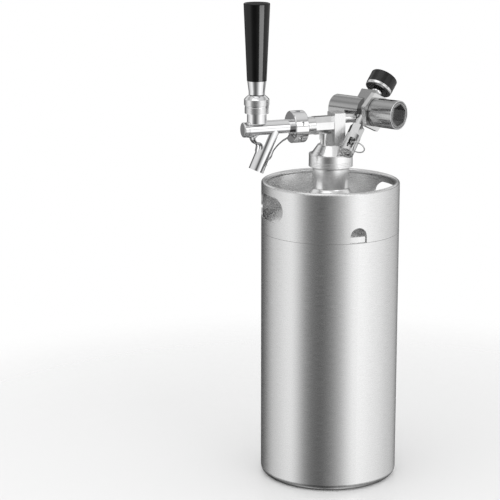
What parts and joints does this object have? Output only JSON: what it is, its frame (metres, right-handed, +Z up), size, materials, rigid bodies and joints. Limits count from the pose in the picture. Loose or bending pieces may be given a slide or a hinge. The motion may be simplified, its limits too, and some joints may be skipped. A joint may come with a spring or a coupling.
{
  "type": "mini keg beer dispenser",
  "caption": "Small steel keg with a screwed-on tap head: lever faucet in front, gas pressure regulator with gauge and relief valve behind.",
  "frame": {"origin": "centre of the keg's base, on the surface it stands on", "axes": "+Z up, -Y the way the faucet points, +X to the left of someone facing the faucet"},
  "size_m": [0.135, 0.164, 0.472],
  "materials": {
    "brushed_steel": "brushed",
    "polished_steel": "polished",
    "chrome": "chrome plated",
    "nickel_brass": "nickel plated",
    "brass": "turned",
    "black_handle": "gloss",
    "gauge_black": "satin",
    "dial_white": "painted",
    "lens_clear": "clear",
    "nylon": "plain",
    "seal_rubber": "matt"
  },
  "bodies": {
    "keg": {"keg_shell": "brushed_steel", "top_skirt": "brushed_steel", "keg_neck": "brushed_steel"},
    "head": {"head_seal": "seal_rubber", "spear_head": "polished_steel", "dip_tube": "polished_steel", "beer_riser": "polished_steel", "tower_block": "brushed_steel", "gas_check_valve": "seal_rubber", "gas_nipple": "polished_steel", "shank": "polished_steel", "shank_seal": "seal_rubber", "faucet_body": "chrome", "faucet_front_cap": "chrome", "bonnet_nut": "chrome", "ball_washer": "nylon", "regulator_body": "nickel_brass", "cartridge_seal": "seal_rubber", "piercing_pin": "polished_steel", "regulator_bonnet_nut": "nickel_brass", "diaphragm_plate": "brass", "regulator_spring": "polished_steel", "gauge_stem": "chrome", "gauge_back_ring": "chrome", "gauge_case": "gauge_black", "gauge_dial": "dial_white", "gauge_movement": "brass", "gauge_lens": "lens_clear", "relief_valve_body": "nickel_brass", "relief_spring": "polished_steel"},
    "collar": {"collar_nut": "polished_steel"},
    "coupling": {"coupling_nut": "chrome"},
    "lever": {"tap_lever": "chrome", "lever_ferrule": "chrome", "handle_insert": "brass", "handle_grip": "black_handle"},
    "valve": {"valve_shaft": "polished_steel", "valve_seal": "seal_rubber"},
    "knob": {"adjusting_knob": "nickel_brass", "adjusting_screw": "brass"},
    "needle": {"gauge_needle": "gauge_black"},
    "relief": {"relief_stem": "polished_steel"},
    "pull": {"relief_pull_ring": "polished_steel"}
  },
  "joints": [
    {"name": "head_lift", "type": "slide", "parent": "keg", "child": "head", "axis": [0, 0, 1], "range_m": [0, 0.31]},
    {"name": "collar_turn", "type": "hinge", "parent": "head", "child": "collar", "pos_m": [0, 0, 0.318], "axis": [0, 0, 1], "continuous": true},
    {"name": "coupling_turn", "type": "hinge", "parent": "head", "child": "coupling", "pos_m": [0, -0.035, 0.352], "axis": [0, -1, 0], "continuous": true},
    {"name": "lever_tilt", "type": "hinge", "parent": "head", "child": "lever", "pos_m": [0, -0.0774, 0.372], "axis": [1, 0, 0], "range_deg": [0, 16]},
    {"name": "valve_slide", "type": "slide", "parent": "head", "child": "valve", "axis": [0, 1, 0], "range_m": [0, 0.006]},
    {"name": "knob_turn", "type": "hinge", "parent": "head", "child": "knob", "pos_m": [0.01782, 0.04508, 0.363], "axis": [0.891, 0.454, 0], "continuous": true},
    {"name": "needle_turn", "type": "hinge", "parent": "head", "child": "needle", "pos_m": [-0.00834, 0.05677, 0.38733], "axis": [0.3067, -0.602, -0.7373], "range_deg": [0, 270]},
    {"name": "relief_pull", "type": "slide", "parent": "head", "child": "relief", "axis": [0.505, -0.5879, -0.6319], "range_m": [0, 0.003], "stiffness_N_per_m": 900, "springref_m": -0.0005},
    {"name": "ring_swing", "type": "hinge", "parent": "relief", "child": "pull", "pos_m": [0.02272, 0.00954, 0.33457], "axis": [0.6078, -0.2776, 0.744], "range_deg": [-18, 18]}
  ],
  "couplings": [
    {"joint": "valve_slide", "follows": "lever_tilt", "m_per_rad": 0.02}
  ]
}
